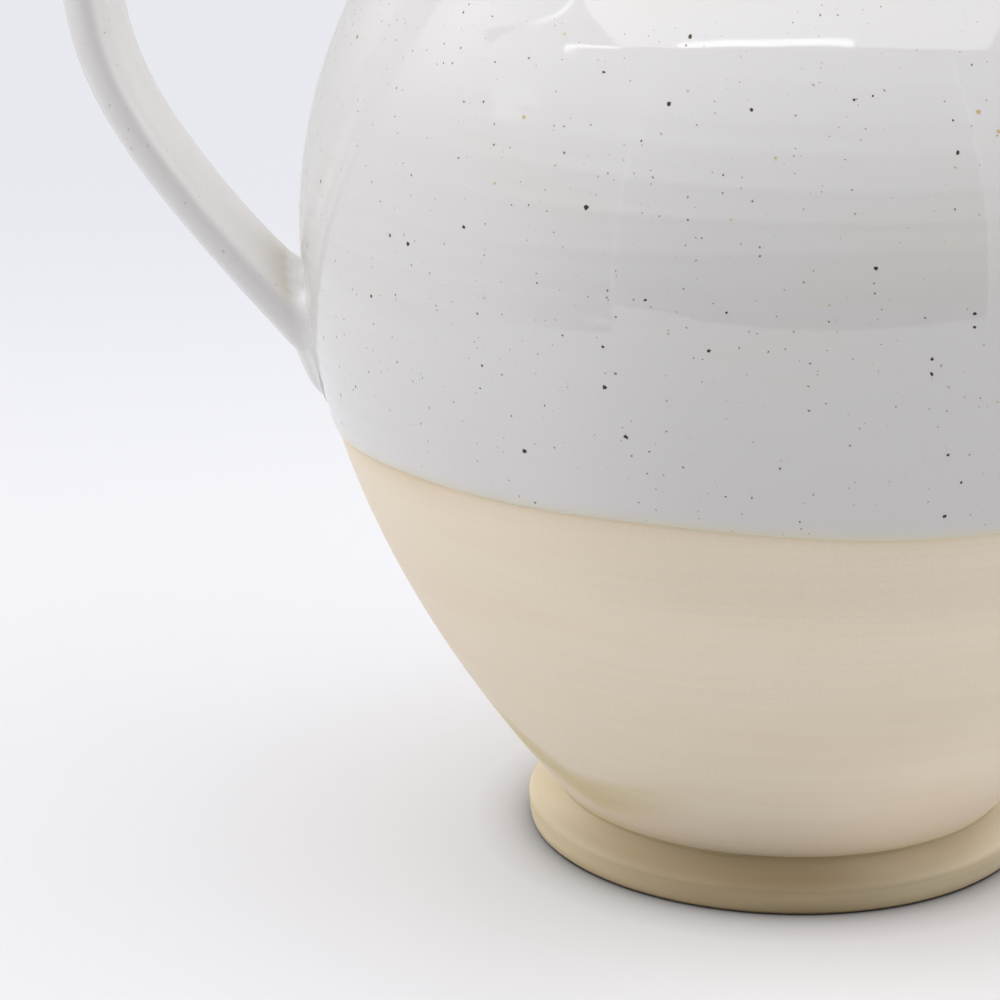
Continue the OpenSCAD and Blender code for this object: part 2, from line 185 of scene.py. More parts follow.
class JugStage(bpy.types.PropertyGroup):
    """Camera, floor and light tent."""
    camera_place: bpy.props.FloatVectorProperty(
        name="Camera place", description="Where the camera stands", size=3, precision=5,
        default=(-47.73 * MM, -478.56 * MM, 200.85 * MM), subtype="TRANSLATION", unit="LENGTH")
    camera_pitch: angle("Camera pitch", "How far the camera looks down", 16.84)
    lens: number("Lens", "Focal length in millimetres on a sensor 36 mm wide", 108.25)
    floor: colour("Floor", "Colour of the floor near the jug", 216, 216, 219)
    # The far floor's darker colour is painted shade.
    floor_far: colour("Far floor", "Colour of the floor far behind the jug", 200, 201, 205)
    floor_bounce: colour("Floor bounce", "Colour of the light that the floor throws back", 211, 211, 213)
    floor_glow: colour("Floor glow", "Colour of the light thrown back on the right", 250, 250, 250)
    # The paler patch before the foot is painted light.
    floor_patch: colour("Floor patch", "Colour of the paler floor before the foot", 231, 231, 234)
    floor_fade: length("Floor fade", "Distance behind the jug at which the floor has its far colour", 0.6)
    # Within this distance, ambient occlusion paints a contact shadow on the floor.
    floor_nook: length("Floor nook", "Distance from the foot within which the floor is darker", 10 * MM)
    floor_half: length("Floor size", "Half the side of the floor", 4.0)
    tent_left: length("Tent left", "Distance of the tent's left wall", 0.38)
    tent_right: length("Tent right", "Distance of the tent's right wall", 0.32)
    tent_front: length("Tent front", "Distance of the tent's front opening", 0.385)
    tent_back: length("Tent back", "Distance of the tent's back wall", 0.45)
    tent_height: length("Tent height", "Height of the tent's roof", 0.49)
    opening_left: length("Opening left", "Distance from the axis to the opening's left side", 0.345)
    opening_right: length("Opening right", "Distance from the axis to the opening's right side", 0.245)
    opening_sill: length("Opening sill", "Height of the opening's lower side", 0.041)
    light_left: number("Left light", "Light that comes from the left", 0.685)
    light_left_high: number("High left light", "Light that comes from high on the left", 3.95)
    light_right: number("Right light", "Light that comes from the right", 0.295)
    light_right_high: number("High right light", "Light that comes from high on the right", 2.07)
    light_back: number("Back light", "Light that comes from behind", 0.68)
    light_up: number("Roof light", "Light that comes from above", 1.31)
    mirror_roof: number("Mirrored roof", "Brightness of the roof in reflections", 4.3)
    mirror_left: number("Mirrored left", "Brightness of the left wall's foot in reflections", 0.75)
    mirror_left_top: number("Mirrored left top", "Brightness added at the left wall's top", 1.6)
    mirror_right: number("Mirrored right", "Brightness of the right wall's foot in reflections", 1.6)
    mirror_right_top: number("Mirrored right top", "Brightness added at the right wall's top", 2.0)
    mirror_back: number("Mirrored back", "Brightness of the back wall in reflections", 0.75)
    mirror_opening: number("Mirrored opening", "Brightness of the opening's top in reflections", 2.3)
    mirror_strip: number("Mirrored strip", "Brightness of the strip light in reflections", 10.0)


# Curves and waves

def waver(turn, rise, seed, around, along):
    """Smooth irregular wave of a turn angle and a height, from about -1 to 1.

    It is a sum of a few cosines. Each has a whole number of waves round the jug, up to around, a number of
    waves per metre of height, up to along, and a phase, all drawn from a seeded generator.
    """
    count = 7
    draw = np.random.default_rng(seed)
    total = 0
    for _ in range(count):
        waves = draw.integers(-around, around + 1)
        rate = draw.uniform(0.25, 1) * along * 2 * math.pi
        total = total + np.cos(waves * turn + rate * rise + draw.uniform(0, 2 * math.pi))
    return total / math.sqrt(count)


def smooth_step(value, low, high):
    """0 below low, 1 above high and a smooth cubic between them."""
    share = np.clip((value - low) / (high - low), 0, 1)
    return share * share * (3 - 2 * share)


def bezier(points, share):
    """Places and unit directions along a cubic curve with four control points, at shares of its length."""
    a, b, c, d = (np.asarray(p, float) for p in points)
    t = share[:, None]
    place = a * (1 - t) ** 3 + 3 * b * t * (1 - t) ** 2 + 3 * c * t * t * (1 - t) + d * t ** 3
    heading = (b - a) * (1 - t) ** 2 + (c - b) * 2 * t * (1 - t) + (d - c) * t * t
    return place, heading / np.linalg.norm(heading, axis=1, keepdims=True)


def turns(columns):
    """A row of angles round the axis, from 0, without the one that closes the turn."""
    return np.arange(columns)[None, :] * 2 * math.pi / columns


def column(first, last, count):
    """A column of evenly spaced numbers."""
    return np.linspace(first, last, count)[:, None]


def degrees_from(turn, start):
    """How far a turn is from a start given in degrees: degrees from -180 to 180."""
    return np.degrees((turn - math.radians(start) + math.pi) % (2 * math.pi) - math.pi)


# Outline of the jug

def waist_height(shape):
    """Height of the neck's waist, where the cove that touches the shoulder's arc turns upright."""
    reach = shape.shoulder_radius + shape.cove_radius
    across = shape.neck_radius + shape.cove_radius - (shape.belly_radius - shape.shoulder_radius)
    return shape.belly_height + math.sqrt(reach ** 2 - across ** 2)


def body_radius(shape, z):
    """Outer radius of the body at a height.

    Below the belly it falls off by a power of the depth, above it follows the shoulder's arc, and close to
    the waist the arc of the cove.
    """
    belly = shape.belly_height
    waist = waist_height(shape)
    touch_share = shape.shoulder_radius / (shape.shoulder_radius + shape.cove_radius)
    touch = belly + (waist - belly) * touch_share
    depth = np.clip((belly - z) / (belly - shape.foot_height), 0, None)
    lower = shape.belly_radius - (shape.belly_radius - shape.base_radius) * depth ** shape.fullness
    arc = np.sqrt(np.clip(shape.shoulder_radius ** 2 - (z - belly) ** 2, 0, None))
    cove = np.sqrt(np.clip(shape.cove_radius ** 2 - (z - waist) ** 2, 0, None))
    return np.select(
        [z < belly, z < touch],
        [lower, shape.belly_radius - shape.shoulder_radius + arc],
        shape.neck_radius + shape.cove_radius - cove)


def body_slant(shape, z):
    """Length of a level step through a skin of unit thickness on the body's slope."""
    nudge = 0.01 * MM
    slope = (body_radius(shape, z + nudge) - body_radius(shape, z - nudge)) / (2 * nudge)
    return np.sqrt(1 + slope ** 2)


def relief(shape, turn, z):
    """Height of the potter's marks on the wall.

    Throwing rings climb in a screw of one pitch a turn, with a wavering phase and strength and a weaker,
    finer set among them, and the whole wall strays a little from round. The turned lower part and the
    shoulder are smoother.
    """
    turned_high, thrown_low = 55 * MM, 85 * MM
    thrown_high, shoulder_low = 122 * MM, 136 * MM
    phase = 2 * math.pi * z / shape.ring_pitch + turn + 1.4 * waver(turn, z, seed=11, around=3, along=60)
    strength = 0.65 + 0.35 * waver(turn, z, seed=12, around=4, along=45)
    finer = 0.6 * np.cos(1.73 * phase + 2 * waver(turn, z, seed=13, around=2, along=40))
    smoothed = 0.6 * smooth_step(z, thrown_high, shoulder_low)
    thrown = 0.3 + 0.7 * smooth_step(z, turned_high, thrown_low) - smoothed
    stray = waver(turn, z, seed=14, around=3, along=9)
    return shape.ring_depth * thrown * strength * (np.cos(phase) + finer) + 0.5 * shape.wobble * stray


def from_lip(turn):
    """Angle between a turn and the middle of the lip."""
    return np.abs((turn + math.pi) % (2 * math.pi) - math.pi)


def lip_share(shape, turn):
    """Share of the lip at a turn: a squared cosine, 1 at the lip's middle and 0 at its sides."""
    off = from_lip(turn)
    return np.where(off < shape.lip_angle, np.cos(math.pi / 2 * off / shape.lip_angle) ** 2, 0)


def pinch_share(shape, turn):
    """Share of the pinch, which is deepest at the lip's two sides."""
    off = from_lip(turn)
    return np.where(
        np.abs(off - shape.lip_angle) < shape.lip_angle / 2,
        np.cos(math.pi * (off - shape.lip_angle) / shape.lip_angle) ** 2, 0)


def neck_radius(shape, share, turn):
    """Outer radius of the neck: the flare grows with the square of the height, and the lip later still."""
    flare = shape.flare - shape.lip_pinch * pinch_share(shape, turn)
    return shape.neck_radius + flare * share ** 2 + shape.lip_reach * lip_share(shape, turn) * share ** 2.5


def neck_rise(shape, share, turn):
    """Height on the neck, which rises towards the lip."""
    lift = shape.lip_rise * lip_share(shape, turn) * share ** 2
    return waist_height(shape) + shape.neck_height * share + lift


def neck_slant(shape, share, turn):
    """Length of a level step through a skin of unit thickness on the neck's slope."""
    nudge = 0.01
    high = share + nudge
    low = np.clip(share - nudge, 0, None)
    run = neck_radius(shape, high, turn) - neck_radius(shape, low, turn)
    rise = neck_rise(shape, high, turn) - neck_rise(shape, low, turn)
    return np.sqrt(1 + (run / rise) ** 2)


def ringed(radius, turn, z):
    """Points in space from radii, angles and heights."""
    radius, turn, z = np.broadcast_arrays(radius, turn, z)
    return np.stack([radius * np.cos(turn), radius * np.sin(turn), z], axis=-1)


def outside(shape, level, turn, skin):
    """Outside of the jug under a skin: level runs from 0 at the foot to 1 at the waist and 2 at the rim."""
    ring_fade = 0.06
    waist = waist_height(shape)
    body_z = shape.foot_height + np.clip(level, 0, 1) * (waist - shape.foot_height)
    fade = smooth_step(1 - level, 0, ring_fade)
    body = body_radius(shape, body_z) + skin * body_slant(shape, body_z) + fade * relief(shape, turn, body_z)
    share = np.clip(level - 1, 0, 1)
    neck = neck_radius(shape, share, turn) + skin * neck_slant(shape, share, turn)
    on_neck = level > 1
    radius = np.where(on_neck, neck, body)
    z = np.where(on_neck, neck_rise(shape, share, turn), body_z)
    return ringed(radius, turn, z)


def rim(shape, around, turn, skin):
    """Top of the rim under a skin: half an ellipse from the outside, at 0, over the crest to 1, inside."""
    half = shape.rim_thickness / 2
    middle = neck_radius(shape, 1.0, turn) - half
    swing = around * math.pi
    radius = middle + np.cos(swing) * (half + skin * neck_slant(shape, 1.0, turn))
    z = neck_rise(shape, 1.0, turn) + np.sin(swing) * (shape.rim_round + skin)
    return ringed(radius, turn, z)


def inside(shape, depth, turn, skin):
    """Inside of the jug under a skin.

    Depth runs from 0 at the rim to 1 at the waist, 2 where the wall starts to round into the floor and 3
    at the middle of the floor. The floor's corner is a quarter of a rounded square.
    """
    ring_start, ring_full, ring_gain = 1.05, 1.3, 3
    waist = waist_height(shape)
    share = np.clip(1 - depth, 0, 1)
    thickness = shape.wall + (shape.rim_thickness - shape.wall) * share
    throat = neck_radius(shape, share, turn) - thickness - skin * neck_slant(shape, share, turn)
    low = shape.foot_height + shape.floor_thickness + skin
    bend = low + shape.floor_round
    swing = np.clip(depth - 2, 0, 1) * math.pi / 2
    floor_share = 1 - np.sin(swing)
    wall_z = waist + (bend - waist) * np.clip(depth - 1, 0, 1)
    z = np.where(depth > 2, low + shape.floor_round * floor_share, wall_z)
    fade = smooth_step(depth, ring_start, ring_full) * smooth_step(3 - depth, 0, 1)
    rings = fade * ring_gain * relief(shape, turn, z)
    wall = body_radius(shape, z) - (shape.wall + skin) * body_slant(shape, z) - rings
    corner = (1 - (1 - floor_share) ** 3) ** (1 / 3)
    on_neck = depth < 1
    radius = np.where(on_neck, throat, wall * np.where(depth > 2, corner, 1))
    return ringed(radius, turn, np.where(on_neck, neck_rise(shape, share, turn), z))


def dip_line(finish, turn, radius):
    """Height of the glaze's edge: a tilted plane that meets the wall, with a slow waver."""
    rise = math.tan(finish.dip_tilt) * radius * np.cos(turn - finish.dip_climb)
    return finish.dip_height + rise + finish.dip_waver * waver(turn, 0, seed=21, around=9, along=1)


# Meshes and pieces

SHARP = math.radians(50)


def ring_mesh(name, rings, closed):
    """Mesh through rows of points that run round a piece.

    Rows climb the outside. A closed stack joins its last row to its first, and an open one is capped at each
    end by a fan to the middle of the row.
    """
    rows, columns = rings.shape[:2]
    index = np.arange(rows * columns).reshape(rows, columns)
    points = rings.reshape(-1, 3)
    if closed:
        index = np.vstack([index, index[:1]])
    low, high = index[:-1], index[1:]
    quads = np.stack([low, np.roll(low, -1, 1), np.roll(high, -1, 1), high], axis=-1).reshape(-1, 4)
    faces = quads.tolist()
    if not closed:
        first, last = rows * columns, rows * columns + 1
        points = np.vstack([points, rings[0].mean(0), rings[-1].mean(0)])
        bottom, top = index[0], index[-1]
        fan = np.stack([np.roll(bottom, -1), bottom, np.full(columns, first)], axis=-1)
        lid = np.stack([top, np.roll(top, -1), np.full(columns, last)], axis=-1)
        faces += fan.tolist() + lid.tolist()
    mesh = bpy.data.meshes.new(name)
    mesh.from_pydata(points.tolist(), [], faces)
    mesh.validate()
    mesh.shade_smooth()
    mesh.set_sharp_from_angle(angle=SHARP)
    return mesh


def paint(mesh, name, values):
    """Stores one number for each point, for a material to read. Points beyond the values get 0."""
    stored = np.zeros(len(mesh.vertices), np.float32)
    stored[:values.size] = values.ravel()
    mesh.attributes.new(name, "FLOAT", "POINT").data.foreach_set("value", stored)


def add_piece(mesh, slot, node):
    """Puts a mesh into the scene as a piece that rides on the jug and stands for a node of the frame."""
    piece = bpy.data.objects.new(mesh.name, mesh)
    bpy.context.scene.collection.objects.link(piece)
    mesh.materials.append(finish_of(slot))
    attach(piece, "root")
    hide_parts(node)


# Shader helpers

def feed(tree, node, sockets):
    """Gives sockets of a shader node a value, or the output that feeds them."""
    for key, value in sockets.items():
        if isinstance(value, bpy.types.NodeSocket):
            tree.links.new(value, node.inputs[key])
        else:
            node.inputs[key].default_value = value


def add_node(tree, kind, sockets=None, **settings):
    """Adds a shader node with its settings, and feeds its sockets."""
    made = tree.nodes.new(kind)
    for key, value in settings.items():
        setattr(made, key, value)
    feed(tree, made, sockets or {})
    return made


def opaque(rgb):
    """A colour with full opacity."""
    return (*rgb, 1)


def blend(tree, share, low, high):
    """Colour that goes from low to high with a share."""
    made = add_node(tree, "ShaderNodeMix", {0: share, 6: low, 7: high}, data_type="RGBA")
    return made.outputs[2]


def between(tree, share, low, high):
    """Number that goes from low to high with a share."""
    return add_node(tree, "ShaderNodeMix", {0: share, 2: low, 3: high}, data_type="FLOAT").outputs[0]


def sum_up(tree, operation, first, second):
    """Result of one arithmetic step."""
    return add_node(tree, "ShaderNodeMath", {0: first, 1: second}, operation=operation).outputs[0]


def times(tree, first, second):
    """Product of two numbers."""
    return sum_up(tree, "MULTIPLY", first, second)


def plus(tree, first, second):
    """Sum of two numbers."""
    return sum_up(tree, "ADD", first, second)


def ramp(tree, value, low, high, to_low=0.0, to_high=1.0):
    """Smooth step of a value from one range to another."""
    return add_node(tree, "ShaderNodeMapRange", {
        "Value": value, "From Min": low, "From Max": high, "To Min": to_low, "To Max": to_high,
    }, interpolation_type="SMOOTHSTEP").outputs[0]


def stretched_noise(tree, place, scale, detail):
    """Noise whose grain has its own number of waves per metre along each axis."""
    mapped = add_node(tree, "ShaderNodeMapping", {"Vector": place, "Scale": scale})
    return add_node(tree, "ShaderNodeTexNoise", {
        "Vector": mapped.outputs[0], "Scale": 1.0, "Detail": detail, "Roughness": 0.55}).outputs[0]


def stored_number(tree, name):
    """A number that the mesh stores for each of its points."""
    return add_node(tree, "ShaderNodeAttribute", attribute_name=name).outputs["Fac"]


def scaled(tree, rgb, factor):
    """A colour times a number."""
    return add_node(tree, "ShaderNodeVectorMath", {0: rgb, "Scale": factor}, operation="SCALE").outputs[0]


def bumped(tree, height, strength, distance):
    """Direction that a surface with small bumps faces."""
    return add_node(tree, "ShaderNodeBump", {
        "Height": height, "Strength": strength, "Distance": distance}).outputs[0]


def start_material(name):
    """A new material with its shader, and the place on the piece that its patterns follow."""
    material = bpy.data.materials.new(name)
    material.use_nodes = True
    tree = material.node_tree
    place = add_node(tree, "ShaderNodeTexCoord").outputs["Object"]
    return material, tree, tree.nodes["Principled BSDF"], place


# Materials

# Iron specks: spacing, largest radius, share of the cells that hold one and shift of the pattern
BIG_SPECKS = (2.8 * MM, 0.36 * MM, 0.75, 13 * MM)
FINE_SPECKS = (1.2 * MM, 0.18 * MM, 0.95, 47 * MM)
SPECK_FRAY = 0.5 * MM


def speck_layer(tree, place, spacing, largest, share, shift):
    """Masks of one size of iron speck and of the halo round it, and a random number for each speck.

    Each cell of a Voronoi pattern holds one ball of iron, of its own random size, mostly small, and a speck
    shows where the surface cuts the ball. Only a share of the cells has one.
    """
    smallest = 0.3 * largest
    moved = add_node(tree, "ShaderNodeMapping", {
        "Vector": place, "Location": (shift, shift / 2, -shift)}).outputs[0]
    cells = add_node(tree, "ShaderNodeTexVoronoi", {"Vector": moved, "Scale": 1 / spacing}).outputs
    drawn = add_node(tree, "ShaderNodeSeparateColor", {0: cells["Color"]}).outputs
    size = sum_up(tree, "POWER", drawn[0], 3.0)
    size = ramp(tree, size, 0.0, 1.0, smallest / spacing, largest / spacing)
    present = sum_up(tree, "LESS_THAN", drawn[1], share)
    ratio = sum_up(tree, "DIVIDE", cells["Distance"], size)
    core = times(tree, ramp(tree, ratio, 1.05, 0.85), present)
    halo = times(tree, ramp(tree, ratio, 1.7, 0.9), present)
    return core, halo, drawn[2]


def speckled_glaze(finish):
    """Glossy white glaze: faint clouds, warm where it lies thin, with brown and black iron specks.

    Where it is stored as satin, it is less glossy and its specks are faint. A stored number paints light and
    shade into its brightness.
    """
    material, tree, shader, place = start_material("speckled_glaze")
    fray = add_node(tree, "ShaderNodeTexNoise", {"Vector": place, "Scale": 1900.0, "Detail": 2.0})
    frayed = add_node(tree, "ShaderNodeVectorMath", {
        0: fray.outputs["Color"], 1: (SPECK_FRAY,) * 3, 2: place}, operation="MULTIPLY_ADD").outputs[0]
    big, big_halo, big_kind = speck_layer(tree, frayed, *BIG_SPECKS)
    fine, fine_halo, fine_kind = speck_layer(tree, frayed, *FINE_SPECKS)
    satin = stored_number(tree, "satin")
    shown = ramp(tree, satin, 0.0, 1.0, 1.0, 0.25)
    masks = (big, big_halo, fine, fine_halo)
    big, big_halo, fine, fine_halo = (times(tree, mask, shown) for mask in masks)
    speck, halo = opaque(finish.speck), opaque(finish.halo)
    clouds = stretched_noise(tree, place, (22, 22, 60), 2.0)
    thin = plus(tree, stored_number(tree, "thin"), ramp(tree, clouds, 0.5, 0.8, 0.0, 0.12))
    # A stored number paints light and shade into the glaze's brightness.
    lit_glaze = scaled(tree, finish.glaze, plus(tree, stored_number(tree, "painted_light_shade"), 1.0))
    base = blend(tree, thin, lit_glaze, opaque(finish.glaze_warm))
    base = blend(tree, times(tree, sum_up(tree, "MAXIMUM", big_halo, fine_halo), 0.25), base, halo)
    rust = blend(tree, ramp(tree, fine_kind, 0.3, 0.9, 0.0, 0.8), speck, halo)
    base = blend(tree, times(tree, fine, 0.75), base, rust)
    iron = blend(tree, ramp(tree, big_kind, 0.86, 0.92), speck, halo)
    base = blend(tree, times(tree, big, 0.95), base, iron)
    peel = add_node(tree, "ShaderNodeTexNoise", {"Vector": place, "Scale": 160.0, "Detail": 1.0})
    feed(tree, shader, {
        "Base Color": base,
        "Roughness": plus(tree, ramp(tree, big, 0.0, 1.0, 0.045, 0.3), times(tree, satin, 0.17)),
        "Specular IOR Level": ramp(tree, big, 0.0, 1.0, 0.5, 0.15),
        "Normal": bumped(tree, peel.outputs[0], 0.25, 0.05 * MM),
        "IOR": 1.52})
    return material


def bare_clay(finish):
    """Bare buff stoneware with level bands of blush, turning lines, fine grain, two kinds of stain and
    painted shade.

    The stains come from the glaze's edge and the slip. Shade is painted in dark brown towards the foot, over
    a slightly browner foot, and a stored number paints light and shade into the clay's brightness.
    """
    material, tree, shader, place = start_material("bare_clay")
    bands = stretched_noise(tree, place, (7, 7, 150), 3.0)
    broad = stretched_noise(tree, place, (14, 14, 26), 2.0)
    lines = stretched_noise(tree, place, (30, 30, 1500), 2.0)
    grain = stretched_noise(tree, place, (2600, 2600, 2600), 2.0)
    mixed = plus(tree, times(tree, bands, 0.45), times(tree, broad, 0.55))
    base = blend(tree, ramp(tree, mixed, 0.35, 0.68), opaque(finish.clay), opaque(finish.clay_blush))
    # The last entry is painted shade: a dark brown towards the foot, over a slightly browner foot.
    stains = {"edge_stain": finish.clay_edge, "slip_stain": finish.slip, "shade_brown": finish.clay_toast}
    for name, stain in stains.items():
        base = blend(tree, stored_number(tree, name), base, opaque(stain))
    shade = plus(tree, ramp(tree, lines, 0.3, 0.7, 0.99, 1.01), ramp(tree, grain, 0.3, 0.7, -0.018, 0.018))
    # Roughness rises where the brown shade is painted.
    shade_rough = times(tree, stored_number(tree, "shade_brown"), 0.3)
    height = plus(tree, times(tree, lines, 0.3), times(tree, grain, 0.5))
    # The stored number paints light and shade into the clay's brightness.
    feed(tree, shader, {
        "Base Color": scaled(tree, base, plus(tree, shade, stored_number(tree, "painted_light_shade"))),
        "Roughness": plus(tree, ramp(tree, grain, 0.3, 0.7, 0.46, 0.58), shade_rough),
        "Normal": bumped(tree, height, 0.35, 0.06 * MM)})
    return material


def fired_slip(finish):
    """Fired slip in the seams: yellower than the clay, brushed and matt, and darkened by painted shade where
    the foot is.
    """
    material, tree, shader, place = start_material("fired_slip")
    brushed = stretched_noise(tree, place, (220, 220, 900), 3.0)
    darker = [0.86 * part for part in finish.slip]
    base = blend(tree, ramp(tree, brushed, 0.35, 0.7), opaque(finish.slip), opaque(darker))
    # Painted shade: a dark brown where the slip lies at the foot, strongest at the front.
    base = blend(tree, stored_number(tree, "shade_brown"), base, opaque(finish.clay_toast))
    feed(tree, shader, {
        "Base Color": base, "Roughness": 0.7, "Normal": bumped(tree, brushed, 0.4, 0.08 * MM)})
    return material


def finish_of(slot):
    """The material of a slot, made on its first use."""
    make = {"clay": bare_clay, "slip": fired_slip, "white_glaze": speckled_glaze}[slot]
    return bpy.data.materials.get(make.__name__) or make(bpy.context.scene.jug_finish)


# Stains and painted shade

def facing_share(turn, start, full):
    """Share that rises from one turn to another, in degrees, over the front, and ends on the lip's side."""
    end, last = 25, -25
    around = degrees_from(turn, 0)
    return smooth_step(around, start, full) * smooth_step(around, end, last)


def kiln_flash(turn):
    """Strength of the painted shade at the front of the foot, its seam and the body just above it.

    It is a bell over the turn, highest at the front and broader towards the handle.
    """
    front, to_handle, to_lip = -98, 60, 42
    off = degrees_from(turn, front)
    return np.exp(-(off / np.where(off < 0, to_handle, to_lip)) ** 2)


def edge_stain(turn, drop):
    """Strength of the tan line in the clay, by the drop below the glaze's edge: it fades down from there.

    A slow waver round the jug makes it stronger in some places, where it also runs further down.
    """
    patch = smooth_step(waver(turn, 0, seed=31, around=7, along=1), 0.2, 1.6)
    line = np.exp(-np.clip(drop, 0, None) / ((0.7 + 2.2 * patch) * MM))
    return (0.35 + 0.45 * patch) * line


def slip_stain(shape, turn, z):
    """Strength of the slip that was wiped along the body above the foot.

    The smear is a band with blurred edges along a line above the foot. The line climbs with the square of
    the way to the right, where the smear fades out, and evenly to the left, where it soon ends. A little
    slip stays along the foot's seam.
    """
    start, seam_height = -141, 1.2 * MM
    way = degrees_from(turn, start)
    ahead = np.clip(way, 0, None)
    behind = np.clip(-way, 0, 14)
    middle = shape.foot_height + (7.7 + 0.006 * ahead ** 2 + 0.4 * behind) * MM
    half = (3.6 + 0.05 * behind) * MM
    smear = np.exp(-((z - middle) / half) ** 4) * smooth_step(way, 36, -2) * smooth_step(way, -24, -14)
    ragged = 0.9 + 0.1 * waver(turn, z, seed=41, around=40, along=500)
    seam = np.exp(-np.clip(z - shape.foot_height, 0, None) / seam_height)
    return np.clip(smear * ragged + 0.3 * seam, 0, 1)


def foot_stains(turn, height, top):
    """Strengths of the slip and of the painted shade on the foot.

    The slip is uneven and partly wiped off the upper half on the handle's side. The painted shade, a dark
    brown over a slightly browner foot, follows the bell at the front, strongest in the upper half, a little
    less in the groove and least where the groove turns away from the front, with a shaded line along the
    lower edge.
    """
    flash = kiln_flash(turn)
    upper = smooth_step(height, 0.45 * top, 0.7 * top)
    groove = smooth_step(height, 0.7 * top, 0.98 * top)
    edge = smooth_step(height, 2.2 * MM, 0.3 * MM)
    wiped = 1 - 0.35 * upper * smooth_step(-np.cos(turn), 0.55, 0.9)
    slip = (0.5 + 0.15 * waver(turn, height, seed=52, around=9, along=160)) * wiped
    strength = (0.68 + 0.2 * upper - 0.14 * groove) * (1 - 0.5 * groove * (1 - flash))
    # Painted shade: dark brown at the front under the belly and along the lower edge, over a slightly
    # browner foot.
    shade_brown = 0.12 + strength * flash + 0.22 * edge + 0.04 * waver(turn, height, seed=53, around=11, along=220)
    return np.clip(slip, 0, 1), np.clip(shade_brown, 0, 1)


# Pieces

BODY_COLUMNS = 288
STRAP_COLUMNS = 96
TAIL_STEPS = 60
LIMB_STEPS = 100
ARCH_STEPS = 110
SUNK = -0.3 * MM


def sizes(context):
    """The scene's values for the jug's shape and finish, and the turns of a row of points round its axis."""
    return context.scene.jug_shape, context.scene.jug_finish, turns(BODY_COLUMNS)


class JUG_OT_body(bpy.types.Operator):
    """Throws the body: floor, belly, shoulder, neck, rim and pouring lip in one wall of clay"""
    bl_idname = "jug.body"
    bl_label = "Thrown body"

    def execute(self, context):
        """Rings from the middle of the underside, up the outside, over the rim and down to the floor.

        The underside has turning marks, a sine of the radius that fades out near its edge. Shade is painted
        in dark brown above the foot, by an exponential of the height, and smooth steps of turn and height
        paint light low at the front and shade higher up.
        """
        shape, finish, turn = sizes(context)
        mark_height, mark_pitch, bare_spare = 0.12 * MM, 2.6 * MM, 4 * MM
        under = column(0.02, 1, 24)
        waves = np.sin(2 * math.pi * under * shape.base_radius / mark_pitch)
        turned = mark_height * waves * (1 - under ** 8)
        underside = ringed(under * shape.base_radius, turn, shape.foot_height + turned)
        bare_rise = finish.dip_height + bare_spare - shape.foot_height
        bare_top = bare_rise / (waist_height(shape) - shape.foot_height)
        bare = outside(shape, column(0.002, bare_top, 120), turn, 0)
        covered = outside(shape, column(bare_top + 0.02, 2, 60), turn, 0)
        crest = rim(shape, column(0.1, 0.9, 7), turn, 0)
        hollow = inside(shape, column(0, 2.98, 110), turn, 0)
        mesh = ring_mesh(
            "thrown_body", np.concatenate([underside, bare, covered, crest, hollow]), closed=False)
        outer = np.concatenate([underside, bare])
        height = outer[..., 2]
        drop = dip_line(finish, turn, np.hypot(outer[..., 0], outer[..., 1])) - height
        paint(mesh, "edge_stain", edge_stain(turn, drop))
        paint(mesh, "slip_stain", slip_stain(shape, turn, height))
        # Painted light low at the front and painted shade higher up.
        pale = 0.17 * facing_share(turn, -105, -68) * smooth_step(height, 42 * MM, 22 * MM)
        deep = 0.07 * facing_share(turn, -130, -105) * smooth_step(height, 54 * MM, 64 * MM)
        paint(mesh, "painted_light_shade", pale - deep)
        # Painted shade in dark brown just above the foot, strongest at the front.
        above = np.clip(height - shape.foot_height, 0, None)
        paint(mesh, "shade_brown", (0.03 + 0.32 * kiln_flash(turn) ** 2) * np.exp(-above / (2 * MM)))
        add_piece(mesh, "clay", "vessel")
        return {"FINISHED"}


